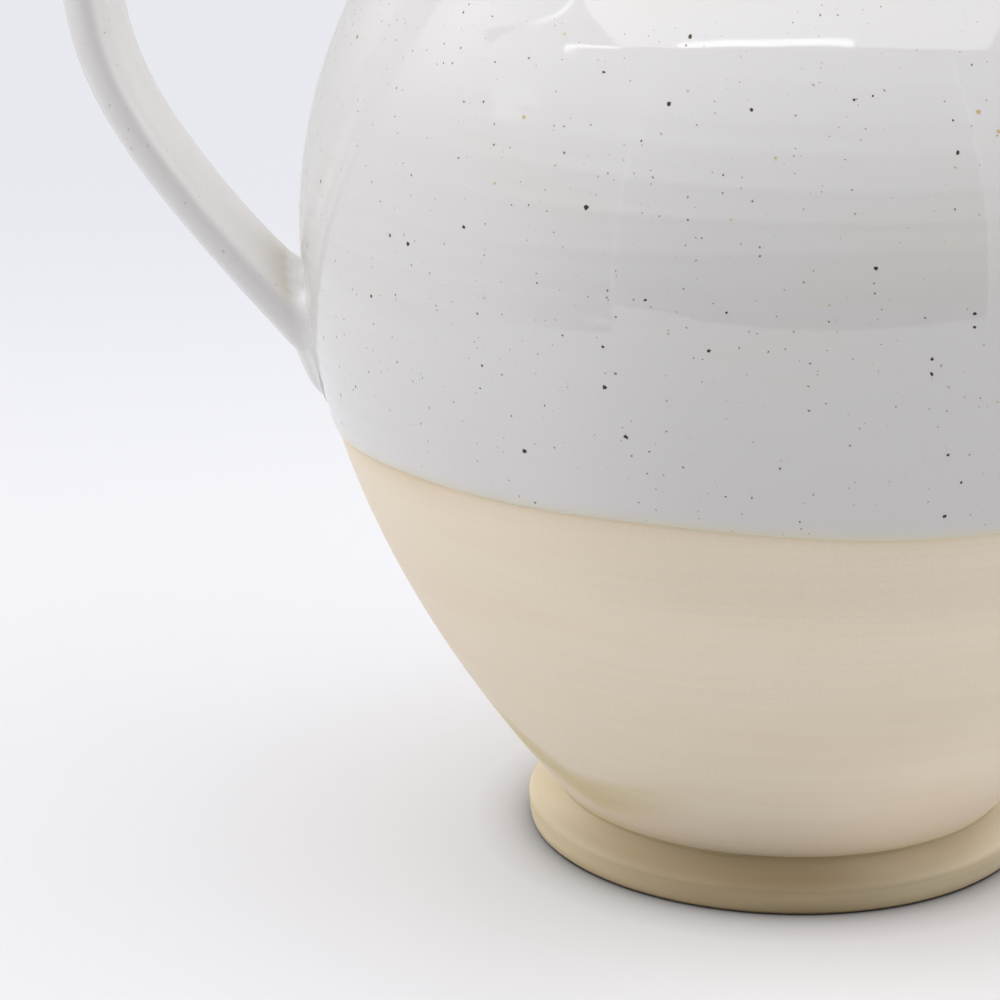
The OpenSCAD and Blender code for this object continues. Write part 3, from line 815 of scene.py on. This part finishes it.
class JUG_OT_foot(bpy.types.Operator):
    """Turns the foot ring, with its cove, its bead and the ring that touches the table"""
    bl_idname = "jug.foot"
    bl_label = "Foot ring"

    def execute(self, context):
        """Rings round the foot's section, from the table up the bead and the cove and down inside.

        The bead widens by a parabola of the rise. The cove above it narrows down to the groove by a power of
        1 less the squared rise. Faint turning marks waver on the sides.
        """
        shape, _, turn = sizes(context)
        mark_height, mark_fade_low, mark_fade_high = 0.02 * MM, 1.5 * MM, 1 * MM
        top = shape.foot_height - shape.slip_film
        table = shape.base_radius + shape.foot_spread
        widest = table + shape.foot_bead
        inner = table - shape.foot_width
        bevel = shape.foot_bevel
        hole = inner - bevel
        groove = shape.base_radius - shape.foot_groove
        bead_low, bead_high = 0.8 * bevel, shape.foot_bead_share * top
        rise = column(0, 1, 24)
        across = column(0, 1, 6)[1:]
        bead = widest - (widest - table) * (1 - rise) ** 2
        cove = groove + (widest - groove) * (1 - rise[1:] ** 2) ** 1.3
        rings = np.concatenate([
            ringed(bead, turn, bead_low + (bead_high - bead_low) * rise),
            ringed(cove, turn, bead_high + (top - bead_high) * rise[1:]),
            ringed(groove + (hole - groove) * across, turn, top),
            ringed(hole, turn, top + (bevel - top) * across),
            ringed(hole + bevel * across, turn, bevel * (1 - across)),
            ringed(inner + (table - bevel - inner) * across, turn, 0)])
        height = rings[..., 2]
        fade = smooth_step(height, 0, mark_fade_low) * smooth_step(top - height, 0, mark_fade_high)
        marks = mark_height * waver(turn, height, seed=51, around=3, along=600) * fade
        rings[..., :2] *= 1 + (marks / np.hypot(rings[..., 0], rings[..., 1]))[..., None]
        mesh = ring_mesh("turned_foot", rings, closed=True)
        slip, shade_brown = foot_stains(turn, height, top)
        paint(mesh, "slip_stain", slip)
        # Painted shade on the foot.
        paint(mesh, "shade_brown", shade_brown)
        add_piece(mesh, "clay", "foot_ring")
        return {"FINISHED"}


class JUG_OT_foot_seam(bpy.types.Operator):
    """Lays the film of slip between foot and body, squeezed out a little in the groove"""
    bl_idname = "jug.foot_seam"
    bl_label = "Foot seam"

    def execute(self, context):
        """Half an ellipse, squeezed out of the groove by a wavering width, and an upright back inside."""
        shape, _, turn = sizes(context)
        lap = 0.1 * MM
        top, low = shape.foot_height + lap, shape.foot_height - shape.slip_film - lap
        inner = shape.base_radius + shape.foot_spread - shape.foot_width - shape.foot_bevel
        groove = shape.base_radius - shape.foot_groove
        squeezed = (0.1 + 0.04 * waver(turn, 0, seed=61, around=14, along=1)) * MM
        swing = column(-math.pi / 2, math.pi / 2, 11)
        height = (top + low) / 2 + (top - low) / 2 * np.sin(swing)
        bead = ringed(groove + squeezed * np.cos(swing), turn, height)
        back = ringed(inner, turn, np.array([top, low])[:, None])
        mesh = ring_mesh("foot_seam", np.concatenate([bead, back]), closed=True)
        # Painted shade on the slip in the groove, strongest at the front.
        paint(mesh, "shade_brown", np.broadcast_to(0.1 + 0.75 * kiln_flash(turn), bead.shape[:2]))
        add_piece(mesh, "slip", "foot_slip")
        return {"FINISHED"}


def strap_stations(shape, handle):
    """Places, headings and section sizes along the strap, from the tip of its tail to the neck.

    The strap follows three cubic curves in the plane of the axis, as distance from the axis and height: up
    the pressed tail, along the lower limb and round the upper bend. The tail thickens fast from its tip, the
    strap grows steadily, and its upper end swells close to the neck.
    """
    def lean(turned):
        """Unit step that leans outwards by an angle from upright."""
        return np.array([math.sin(turned), math.cos(turned)])

    def on_body(z):
        """Point of the body's outline at a height."""
        return np.array([float(body_radius(shape, np.array(z))), z])

    root = on_body(handle.root_height)
    tip = on_body(handle.root_height - handle.tail_length) - [handle.tail_dive, 0]
    bend = on_body(handle.root_height - handle.tail_bend * handle.tail_length)
    crown = np.array([shape.belly_radius + handle.reach, handle.crown_height])
    upright = np.array([0, handle.crown_pull])
    top = np.array([
        float(neck_radius(shape, handle.top_share, math.pi)) - handle.top_bury,
        float(neck_rise(shape, handle.top_share, math.pi))])
    heading = lean(handle.root_lean)
    away = lean(math.pi / 2 - handle.top_lean)
    steps = [np.linspace(0, 1, n + 1) for n in (TAIL_STEPS, LIMB_STEPS, ARCH_STEPS)]
    tail, limb, arch = steps[0][:-1], steps[1][:-1], steps[2]
    paths = [
        bezier([tip, bend, root - 0.25 * handle.tail_length * heading, root], tail),
        bezier([root, root + handle.root_pull * heading, crown - upright, crown], limb),
        bezier([crown, crown + upright, top + handle.top_pull * away, top], arch),
    ]
    place = np.concatenate([p[0] for p in paths])
    course = np.concatenate([p[1] for p in paths])
    swell = handle.top_swell * arch ** 6
    widening = handle.top_width - handle.low_width
    thin = (1 - tail) ** 2
    thickening = handle.top_thickness - handle.low_thickness
    thickness = np.concatenate([
        handle.low_thickness - (handle.low_thickness - handle.tail_thickness) * thin,
        handle.low_thickness + thickening * limb / 2,
        handle.low_thickness + thickening * (1 + arch) / 2 + swell])
    width = np.concatenate([
        handle.low_width - (handle.low_width - handle.tail_width) * thin,
        handle.low_width + widening * limb / 2, handle.low_width + widening * (1 + arch) / 2 + swell])
    fill = np.concatenate([
        handle.root_fillet * (1 - thin), handle.root_fillet * (1 - limb) ** 20, np.zeros(arch.size)])
    pool = handle.pool * np.concatenate([0.15 + 0.85 * tail, np.ones(limb.size), 1.6 * np.ones(arch.size)])
    return place, course, thickness, width, fill, pool


def jug_gap(shape, points, skin):
    """Distance of points from the skin on the jug's outside, measured square to it."""
    radius = np.hypot(points[..., 0], points[..., 1])
    turn = np.arctan2(points[..., 1], points[..., 0])
    z = points[..., 2]
    share = np.clip((z - waist_height(shape)) / shape.neck_height, 0, 1)
    on_neck = share > 0
    wall = np.where(on_neck, neck_radius(shape, share, turn), body_radius(shape, z))
    slant = np.where(on_neck, neck_slant(shape, share, turn), body_slant(shape, z))
    return (radius - wall) / slant - skin


def strap_rings(shape, handle, skin, pooled):
    """Rings of the strap under a skin.

    The section is a rounded oblong whose side ridges may lie off its middle. Where pooled is more than 0 and
    a point comes close to the jug, the section spreads with the square of its nearness, so that glaze fills
    the corner. Points that run into the wall go no deeper than the strap is bedded.
    """
    place, course, thickness, width, fill, pool = strap_stations(shape, handle)
    swing = turns(STRAP_COLUMNS)
    power = 2 / handle.squareness
    across = np.sign(np.cos(swing)) * np.abs(np.cos(swing)) ** power
    aside = np.sign(np.sin(swing)) * np.abs(np.sin(swing)) ** power
    half = thickness[:, None] / 2 + skin
    outward = half * (across + handle.ridge * (1 - across ** 2)) + fill[:, None] * np.minimum(across, 0)
    sideways = (width[:, None] / 2 + skin) * aside
    facing = np.stack([np.cos(swing) * width[:, None], np.sin(swing) * thickness[:, None]], axis=-1)
    facing /= np.linalg.norm(facing, axis=-1, keepdims=True)

    def in_space(out, side):
        """Points from steps square to the strap's course, outwards and sideways."""
        radius = place[:, :1] + course[:, 1:] * out
        z = place[:, 1:] - course[:, :1] * out
        return np.stack([-radius, -side, z], axis=-1)

    gap = jug_gap(shape, in_space(outward, sideways), skin)
    reach = pooled * pool[:, None]
    near = np.clip(1 - gap / np.maximum(reach, 0.01 * MM), 0, 1.5)
    spread = 0.6 * reach * near ** 2
    points = in_space(outward + spread * facing[..., 0], sideways + spread * facing[..., 1])
    too_deep = np.clip(-handle.bed - jug_gap(shape, points, 0), 0, None)
    points[..., :2] *= 1 + (too_deep / np.hypot(points[..., 0], points[..., 1]))[..., None]
    return points


class JUG_OT_strap(bpy.types.Operator):
    """Pulls the clay strap of the handle, from its pressed tail to the neck"""
    bl_idname = "jug.strap"
    bl_label = "Strap handle"

    def execute(self, context):
        """The strap's rings without a skin."""
        rings = strap_rings(context.scene.jug_shape, context.scene.jug_handle, 0, 0)
        add_piece(ring_mesh("pulled_strap", rings, closed=False), "clay", "handle")
        return {"FINISHED"}


class JUG_OT_handle_seams(bpy.types.Operator):
    """Gives the two films of slip under the handle's ends their finish"""
    bl_idname = "jug.handle_seams"
    bl_label = "Handle seams"

    def execute(self, context):
        """The frame's own meshes with the slip's material."""
        for name in ("lower_handle_slip", "upper_handle_slip"):
            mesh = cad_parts[name].data
            mesh.materials.clear()
            mesh.materials.append(finish_of("slip"))
        return {"FINISHED"}


class JUG_OT_outer_glaze(bpy.types.Operator):
    """Dips the outside in white glaze, down to a wavering edge with a rounded nose"""
    bl_idname = "jug.outer_glaze"
    bl_label = "Outer glaze"

    def execute(self, context):
        """Rings from the glaze's edge up to the crest of the rim, and back down within the clay.

        The edge follows the dip line. Its nose is a quarter of an ellipse with a slight roll above it, a
        bell of the height. The coat is thin at the edge, by an exponential of the height, and over the rim,
        by a power of the way to its crest. Smooth steps of turn and height paint shade at the front below
        the shoulder and light high on the handle's side.
        """
        shape, finish, turn = sizes(context)
        coat = finish.glaze_coat
        roll_drop, roll_width, thin_drop, sunk_edge = 1.2 * MM, 1.4 * MM, 0.8 * MM, 0.03 * MM
        span = waist_height(shape) - shape.foot_height
        edge_radius = body_radius(shape, np.array(finish.dip_height))
        edge = (dip_line(finish, turn, edge_radius) - shape.foot_height) / span
        nose = finish.dip_nose / span
        nose_steps = 1 - np.cos(column(0, math.pi / 2, 9)[:-1])
        body = edge + nose + (1 - edge - nose) * column(0, 1, 205)
        neck = np.broadcast_to(1 + column(0, 1, 37)[1:], (36, BODY_COLUMNS))
        level = np.concatenate([edge + nose_steps * nose, body, neck])
        drop = (level - edge) * span
        rounded = np.sqrt(1 - (1 - np.clip(drop / finish.dip_nose, 0, 1)) ** 2)
        roll = 1 + 0.12 * np.exp(-((drop - roll_drop) / roll_width) ** 2)
        outer = outside(shape, level, turn, coat * rounded * roll - sunk_edge * (1 - rounded))
        over_rim = column(0.05, 0.5, 7)
        back_level = np.concatenate([
            np.broadcast_to(column(2, 1, 9), (9, BODY_COLUMNS)), 1 + (edge - 1) * column(0, 1, 40)[1:]])
        rings = np.concatenate([
            outer, rim(shape, over_rim, turn, coat), rim(shape, column(0.5, 0.1, 4), turn, SUNK),
            outside(shape, back_level, turn, SUNK)])
        mesh = ring_mesh("dipped_glaze", rings, closed=True)
        thin_rim = np.broadcast_to(1.5 * over_rim ** 1.5, (7, BODY_COLUMNS))
        paint(mesh, "thin", np.concatenate([0.95 * np.exp(-drop / thin_drop), thin_rim]))
        height = outer[..., 2]
        # Painted shade at the front below the shoulder, and painted light high on the handle's side.
        deep = facing_share(turn, -125, -103) * smooth_step(height, 132 * MM, 108 * MM)
        pale = smooth_step(-np.cos(turn), 0.6, 0.9) * smooth_step(height, 120 * MM, 150 * MM)
        paint(mesh, "painted_light_shade", 0.07 * pale - 0.085 * deep)
        add_piece(mesh, "white_glaze", "outer_glaze")
        return {"FINISHED"}


class JUG_OT_liner_glaze(bpy.types.Operator):
    """Lines the inside with white glaze, from the crest of the rim to the floor"""
    bl_idname = "jug.liner_glaze"
    bl_label = "Liner glaze"

    def execute(self, context):
        """Rings from the floor up to the crest of the rim, and back down within the clay."""
        shape, finish, turn = sizes(context)
        floor_depth = 2.985
        rings = np.concatenate([
            inside(shape, column(floor_depth, 0, 190), turn, finish.glaze_coat),
            rim(shape, column(0.95, 0.5, 7), turn, finish.glaze_coat),
            rim(shape, column(0.5, 0.9, 4), turn, SUNK),
            inside(shape, column(0, floor_depth, 70), turn, SUNK)])
        mesh = ring_mesh("lining_glaze", rings[::-1], closed=False)
        add_piece(mesh, "white_glaze", "liner_glaze")
        return {"FINISHED"}


class JUG_OT_handle_glaze(bpy.types.Operator):
    """Coats the strap with white glaze, with light painted on its inner face, and pooled in the corners
    where it joins
    """
    bl_idname = "jug.handle_glaze"
    bl_label = "Handle glaze"

    def execute(self, context):
        """The strap's rings under the coat.

        By smooth steps, light is painted on the inner face above the root, and the glaze is warmer where it
        comes close to the jug.
        """
        scene = context.scene
        coat = scene.jug_finish.glaze_coat
        limb_rows, lower_rows = (TAIL_STEPS - 15, TAIL_STEPS + 15), TAIL_STEPS + LIMB_STEPS
        rings = strap_rings(scene.jug_shape, scene.jug_handle, coat, 1)
        mesh = ring_mesh("strap_glaze", rings, closed=False)
        row = np.arange(len(rings))[:, None]
        way = np.cos(turns(STRAP_COLUMNS))
        # Painted light: the inner face of the strap is brighter above the root.
        paint(mesh, "painted_light_shade", 0.02 + 0.36 * smooth_step(row, *limb_rows) * smooth_step(way, 0.05, -0.35))
        paint(mesh, "satin", np.ones(rings.shape[:2]))
        ratio = jug_gap(scene.jug_shape, rings, coat) / scene.jug_handle.pool
        corner = smooth_step(ratio, 0.95, 1.1) * smooth_step(ratio, 4.0, 1.1) ** 2
        paint(mesh, "thin", 0.4 * (row < lower_rows) * smooth_step(way, -0.05, -0.4) * corner)
        add_piece(mesh, "white_glaze", "handle_glaze")
        return {"FINISHED"}


# Stage

def flat_sheet(name, edge, side):
    """A sheet of the stage between an edge, given as a row of points, and the same edge moved aside."""
    rows = np.stack([edge, np.add(edge, side)])
    count = rows.shape[1]
    first = np.arange(count - 1)
    faces = np.stack([first, first + 1, first + count + 1, first + count], axis=-1)
    mesh = bpy.data.meshes.new(name)
    mesh.from_pydata(rows.reshape(-1, 3).tolist(), [], faces.tolist())
    sheet = bpy.data.objects.new(name, mesh)
    bpy.context.scene.collection.objects.link(sheet)
    return sheet


def add_floor(stage):
    """A wide matt floor with painted shade, a little darker far behind the jug and close to its foot.

    A round patch of painted light makes it paler before the foot. Cameras and mirrors see its full colour,
    and the light that it throws back has its own.
    """
    fade_start = -0.1
    patch_middle, patch_rim, patch_core = (0.03, -0.06, 0), 0.085, 0.02
    glow_start, glow_full = -0.05, 0.2
    half = stage.floor_half
    floor = flat_sheet("floor", [(-half, -half, 0), (half, -half, 0)], (0, 2 * half, 0))
    material, tree, shader, place = start_material("floor_paper")
    plan = add_node(tree, "ShaderNodeSeparateXYZ", {0: place}).outputs
    # Painted shade: the floor darkens far behind the jug.
    far = ramp(tree, plan["Y"], fade_start, stage.floor_fade)
    seen = blend(tree, far, opaque(stage.floor), opaque(stage.floor_far))
    # Painted light: a paler round patch before the foot.
    off = add_node(
        tree, "ShaderNodeVectorMath", {0: place, 1: patch_middle}, operation="DISTANCE").outputs[1]
    seen = blend(tree, ramp(tree, off, patch_rim, patch_core), seen, opaque(stage.floor_patch))
    # Painted contact shadow: ambient occlusion darkens the floor close to the foot.
    contact_shadow = add_node(tree, "ShaderNodeAmbientOcclusion", {"Color": seen, "Distance": stage.floor_nook})
    path = add_node(tree, "ShaderNodeLightPath").outputs
    shown = sum_up(tree, "MAXIMUM", path["Is Camera Ray"], path["Is Glossy Ray"])
    to_right = ramp(tree, plan["X"], glow_start, glow_full)
    bounce = blend(tree, to_right, opaque(stage.floor_bounce), opaque(stage.floor_glow))
    feed(tree, shader, {
        "Base Color": blend(tree, shown, bounce, contact_shadow.outputs["Color"]),
        "Roughness": 1.0,
        "Specular IOR Level": 0.0})
    floor.data.materials.append(material)


def add_card(name, edge, side, glow):
    """A card of the light tent, seen only in reflections.

    Its glow is a number, or a function that makes it from a node tree and a place.
    """
    card = flat_sheet(name, edge, side)
    material = bpy.data.materials.new(name)
    material.use_nodes = True
    tree = material.node_tree
    tree.nodes.clear()
    if callable(glow):
        place = add_node(tree, "ShaderNodeTexCoord").outputs["Object"]
        glow = glow(tree, add_node(tree, "ShaderNodeSeparateXYZ", {0: place}).outputs)
    light = add_node(tree, "ShaderNodeEmission", {"Strength": glow})
    add_node(tree, "ShaderNodeOutputMaterial", {"Surface": light.outputs[0]})
    card.data.materials.append(material)
    for ray in ("camera", "diffuse", "transmission", "volume_scatter", "shadow"):
        setattr(card, "visible_" + ray, False)


def add_tent(stage):
    """The light tent as the glaze mirrors it.

    It has a bright roof, pale walls, a front opening that is dim low down and has light edges, a strip light
    bowed towards it, and on the left wall a bright seam, a pale window and the strip's far end.
    """
    left, right = -stage.tent_left, stage.tent_right
    front, back, top = -stage.tent_front, stage.tent_back, stage.tent_height
    open_left, open_right, sill = -stage.opening_left, stage.opening_right, stage.opening_sill
    strip_glow = stage.mirror_strip
    hem, gap = 4 * MM, 2 * MM
    # Heights and depths between which the walls' brightness changes, with shares of it
    left_low, left_high = 0.14, 0.36
    left_bright, left_dull, dull_share = 0.02, 0.2, 0.25
    left_wall, left_door = -0.08, -0.36
    right_lit, right_dull_share = -0.1, 0.6
    seam_low, seam_high, seam_dull_share, seam_share = 0.33, 0.45, 0.1, 0.55
    edge_gain, window_glow = 1.3, 2.4

    def door_glow(tree, place):
        """Smooth step of the height, from a dark sill."""
        return ramp(tree, place["Z"], sill, top, 0.0, stage.mirror_opening)

    def left_glow(tree, place):
        """Smooth step of the height, weaker behind, that passes into the opening's glow near the front."""
        upper = stage.mirror_left_top
        gain = ramp(tree, place["Y"], left_bright, left_dull, upper, dull_share * upper)
        rise = times(tree, ramp(tree, place["Z"], left_low, left_high), gain)
        near_door = ramp(tree, place["Y"], left_wall, left_door)
        return between(tree, near_door, plus(tree, rise, stage.mirror_left), door_glow(tree, place))

    def right_glow(tree, place):
        """Smooth step of the height, weaker towards the front."""
        low, high = stage.mirror_right, stage.mirror_right + stage.mirror_right_top
        level = ramp(tree, place["Z"], 0.0, top, low, high)
        return times(tree, level, ramp(tree, place["Y"], front, right_lit, right_dull_share, 1.0))

    def seam_glow(tree, place):
        """Smooth step of the height, between two shares of the strip's glow."""
        return ramp(
            tree, place["Z"], seam_low, seam_high, seam_dull_share * strip_glow, seam_share * strip_glow)

    def edge_glow(tree, place):
        """The opening's glow and a fixed gain."""
        return plus(tree, door_glow(tree, place), edge_gain)

    def wall(name, begin, end, foot, glow):
        """An upright card from one point of the plan to another, between a foot and the roof."""
        add_card(name, [(*begin, foot), (*end, foot)], (0, 0, top - foot), glow)

    wall("tent_left", (left, front), (left, back), 0, left_glow)
    wall("tent_right", (right, front), (right, back), 0, right_glow)
    wall("tent_back", (left, back), (right, back), 0, stage.mirror_back)
    wall("tent_front_left", (left, front), (open_left, front), 0, door_glow)
    wall("tent_front_right", (open_right, front), (right, front), 0, right_glow)
    wall("tent_opening", (open_left, front), (open_right, front), sill, door_glow)
    for name, x in (("tent_edge_left", open_left), ("tent_edge_right", open_right)):
        wall(name, (x, front + gap), (x + hem, front + gap), sill, edge_glow)

    bow, bow_middle, bow_gap = 0.55, 0.03, 0.003
    along = np.linspace(left, right, 41)
    bowed = front + bow_gap + bow * (along - bow_middle) ** 2
    strip = np.stack([along, bowed, np.full(along.size, top - hem)], axis=-1)
    # Parts of the strip light, with their widths and shares of its brightness
    strip_parts = (
        ("tent_strip_left", strip[5:8], 0.006, 0.5),
        ("tent_strip_bright", strip[7:26], 0.016, 0.9),
        ("tent_strip_right", strip[25:-2], 0.012, 0.45))
    for name, edge, width, share in strip_parts:
        add_card(name, edge, (0, width, 0), share * strip_glow)
    add_card("tent_roof", strip + [0, 0, hem], (0, back - front, 0), stage.mirror_roof)
    valance, valance_width = [(left, front, top + hem), (right, front, top + hem)], 0.12
    add_card("tent_valance", valance, (0, valance_width, 0), stage.mirror_opening)

    on_wall, end_share = left + gap, 0.8
    strip_end = [(on_wall, -0.168, 0.394), (on_wall, -0.289, 0.483)]
    add_card("tent_strip_end", strip_end, (0, hem, hem), end_share * strip_glow)
    window = [(on_wall, -0.101, 0.25), (on_wall, -0.075, 0.284)]
    add_card("tent_window", window, (0, -0.082, 0.04), window_glow)
    seam_course = [(-0.025, 0.323), (-0.085, 0.385), (-0.128, 0.42), (-0.118, 0.489)]
    share = np.linspace(0, 1, 25)
    seam = np.insert(bezier(seam_course, share)[0], 0, on_wall, axis=1)
    widths = np.outer(0.024 - 0.018 * share, (0, 1, 0))
    add_card("tent_seam", seam, widths, seam_glow)


def add_world(stage):
    """Soft light of the tent, by the direction that it comes from.

    A side's light grows with the square of the direction's part towards that side, and the light high on a
    side with that part and the part upwards together. The roof's light grows with the fourth power of the
    part upwards. A camera sees a plain pale background.
    """
    backdrop, tint = 0.85, (1, 1, 1.01, 1)
    world = bpy.data.worlds.new("tent_light")
    bpy.context.scene.world = world
    world.use_nodes = True
    tree = world.node_tree
    tree.nodes.clear()
    towards = add_node(tree, "ShaderNodeTexCoord").outputs["Generated"]
    axes = add_node(tree, "ShaderNodeSeparateXYZ", {0: towards}).outputs
    up = sum_up(tree, "MAXIMUM", axes["Z"], 0.0)
    level = times(tree, sum_up(tree, "POWER", up, 4.0), stage.light_up)
    sides = (
        (axes["X"], stage.light_right, stage.light_right_high),
        (times(tree, axes["X"], -1.0), stage.light_left, stage.light_left_high),
        (axes["Y"], stage.light_back, 0.0))
    for way, low, high in sides:
        part = sum_up(tree, "MAXIMUM", way, 0.0)
        rise = plus(tree, times(tree, part, low), times(tree, up, high))
        level = plus(tree, level, times(tree, part, rise))
    seen = add_node(tree, "ShaderNodeLightPath").outputs["Is Camera Ray"]
    glow = add_node(tree, "ShaderNodeBackground", {
        "Color": tint, "Strength": between(tree, seen, level, backdrop)})
    add_node(tree, "ShaderNodeOutputWorld", {"Surface": glow.outputs[0]})


def add_camera(stage):
    """The camera at the photograph's place, looking along +Y and down by its pitch."""
    data = bpy.data.cameras.new("camera")
    data.lens = stage.lens
    data.sensor_width = 36
    data.clip_end = 50
    camera = bpy.data.objects.new("camera", data)
    bpy.context.scene.collection.objects.link(camera)
    camera.location = stage.camera_place
    camera.rotation_euler = (math.pi / 2 - stage.camera_pitch, 0, 0)
    bpy.context.scene.camera = camera


class JUG_OT_stage(bpy.types.Operator):
    """Sets up the camera, the soft light, the floor and the light tent"""
    bl_idname = "jug.stage"
    bl_label = "Light tent"

    def execute(self, context):
        """The parts of the stage, one after the other."""
        stage = context.scene.jug_stage
        context.scene.view_settings.view_transform = "Standard"
        add_camera(stage)
        add_world(stage)
        add_floor(stage)
        add_tent(stage)
        return {"FINISHED"}


# Panel and registration

class JUG_PT_build(bpy.types.Panel):
    """Lists the steps that build the jug"""
    bl_label = "Stoneware jug"
    bl_idname = "JUG_PT_build"
    bl_space_type = "VIEW_3D"
    bl_region_type = "UI"
    bl_category = "Jug"

    def draw(self, context):
        """One button for each step."""
        for step in STEPS:
            self.layout.operator(step.bl_idname)


STEPS = (
    JUG_OT_stage, JUG_OT_body, JUG_OT_foot, JUG_OT_foot_seam, JUG_OT_strap, JUG_OT_handle_seams,
    JUG_OT_outer_glaze, JUG_OT_liner_glaze, JUG_OT_handle_glaze)
GROUPS = {"jug_shape": JugShape, "jug_handle": JugHandle, "jug_finish": JugFinish, "jug_stage": JugStage}


def register():
    """Registers the property groups, the operators and the panel."""
    for group in GROUPS.values():
        bpy.utils.register_class(group)
    for key, group in GROUPS.items():
        setattr(bpy.types.Scene, key, bpy.props.PointerProperty(type=group))
    for step in STEPS:
        bpy.utils.register_class(step)
    bpy.utils.register_class(JUG_PT_build)


def unregister():
    """Takes the panel, the operators and the property groups out again."""
    bpy.utils.unregister_class(JUG_PT_build)
    for step in reversed(STEPS):
        bpy.utils.unregister_class(step)
    for key, group in GROUPS.items():
        delattr(bpy.types.Scene, key)
        bpy.utils.unregister_class(group)


def main():
    """Builds the stage and every piece."""
    register()
    bpy.ops.jug.stage()
    bpy.ops.jug.body()
    bpy.ops.jug.foot()
    bpy.ops.jug.foot_seam()
    bpy.ops.jug.strap()
    bpy.ops.jug.handle_seams()
    bpy.ops.jug.outer_glaze()
    bpy.ops.jug.liner_glaze()
    bpy.ops.jug.handle_glaze()


if __name__ == "__main__":
    main()
